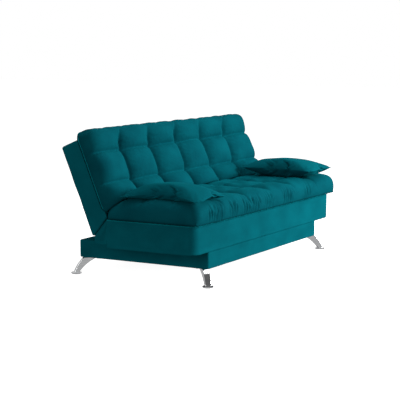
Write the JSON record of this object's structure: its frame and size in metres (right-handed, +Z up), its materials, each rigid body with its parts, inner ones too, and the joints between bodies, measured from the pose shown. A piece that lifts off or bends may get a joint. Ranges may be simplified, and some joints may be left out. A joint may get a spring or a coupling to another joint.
{
  "type": "sofa bed",
  "caption": "Armless click-clack sofa bed: tufted seat and reclining back on a plinth with splayed chrome legs, with two loose pillows.",
  "frame": {"origin": "on the floor, under the middle of the overall box", "axes": "+X along the seat's length, -Y the front where one sits down, +Z up"},
  "size_m": [1.976, 0.9859, 0.9002],
  "materials": {
    "box_velvet": "matte",
    "pad_velvet": "matte",
    "pillow_velvet": "matte",
    "foam": "matte",
    "dust_cloth": "matte",
    "elastic_webbing": "matte",
    "chrome_leg": "polished",
    "glide_plastic": "satin",
    "panel_board": "matte",
    "pine": "matte",
    "zinc_steel": "satin",
    "bright_steel": "satin"
  },
  "bodies": {
    "root": {"base_corner_blocks": "pine", "base_cover": "box_velvet", "base_cross_rails": "pine", "base_dust_cover": "dust_cloth", "base_front_board": "pine", "base_rear_board": "pine", "base_side_boards": "pine", "base_top_panel": "panel_board", "foot_flanges": "chrome_leg", "foot_glides": "glide_plastic", "gusset_left": "box_velvet", "gusset_right": "box_velvet", "hinge_rivet_left": "bright_steel", "hinge_rivet_right": "bright_steel", "leg_front_left": "chrome_leg", "leg_front_right": "chrome_leg", "leg_rear_left": "chrome_leg", "leg_rear_right": "chrome_leg", "leg_screws": "bright_steel", "seat_box_cover": "box_velvet", "seat_corner_posts": "pine", "seat_cross_slats": "pine", "seat_dust_cover": "dust_cloth", "seat_front_rail": "pine", "seat_hinge_arm_left": "zinc_steel", "seat_hinge_arm_right": "zinc_steel", "seat_hinge_bolts": "bright_steel", "seat_pad_cover": "pad_velvet", "seat_pad_foam": "foam", "seat_rear_rail": "pine", "seat_side_rail_left": "pine", "seat_side_rail_right": "pine", "seat_to_base_bolts": "bright_steel", "seat_webbing": "elastic_webbing"},
    "back": {"back_arm_spacers": "pine", "back_bottom_rail": "pine", "back_box_cover": "box_velvet", "back_hinge_arm_left": "zinc_steel", "back_hinge_arm_right": "zinc_steel", "back_hinge_bolts": "bright_steel", "back_nose_board": "pine", "back_pad_cover": "pad_velvet", "back_pad_foam": "foam", "back_rear_panel": "panel_board", "back_side_rail_left": "pine", "back_side_rail_right": "pine", "back_top_rail": "pine", "back_uprights": "pine", "back_webbing": "elastic_webbing", "pawl_pins": "bright_steel", "pawl_springs": "zinc_steel"},
    "pawl_left": {"pawl_left": "zinc_steel"},
    "pawl_right": {"pawl_right": "zinc_steel"},
    "pillow_left": {"pillow_left_cover": "pillow_velvet", "pillow_left_filling": "foam"},
    "pillow_right": {"pillow_right_cover": "pillow_velvet", "pillow_right_filling": "foam"}
  },
  "joints": [
    {"name": "back_recline", "type": "hinge", "parent": "root", "child": "back", "pos_m": [0, 0.186, 0.318], "axis": [-1, 0, 0], "range_deg": [0, 67], "deforming": ["gusset_left", "gusset_right"]},
    {"name": "pawl_left_drop", "type": "hinge", "parent": "back", "child": "pawl_left", "pos_m": [-0.9215, 0.22437, 0.36258], "axis": [1, 0, 0], "range_deg": [0, 10]},
    {"name": "pawl_right_drop", "type": "hinge", "parent": "back", "child": "pawl_right", "pos_m": [0.9215, 0.22437, 0.36258], "axis": [1, 0, 0], "range_deg": [0, 10]},
    {"name": "pillow_left_lift", "type": "slide", "parent": "root", "child": "pillow_left", "axis": [0, 0, 1], "range_m": [0, 0.35]},
    {"name": "pillow_right_lift", "type": "slide", "parent": "root", "child": "pillow_right", "axis": [0, 0, 1], "range_m": [0, 0.35]}
  ],
  "couplings": [
    {"joint": "pawl_right_drop", "follows": "pawl_left_drop", "ratio": 1}
  ]
}
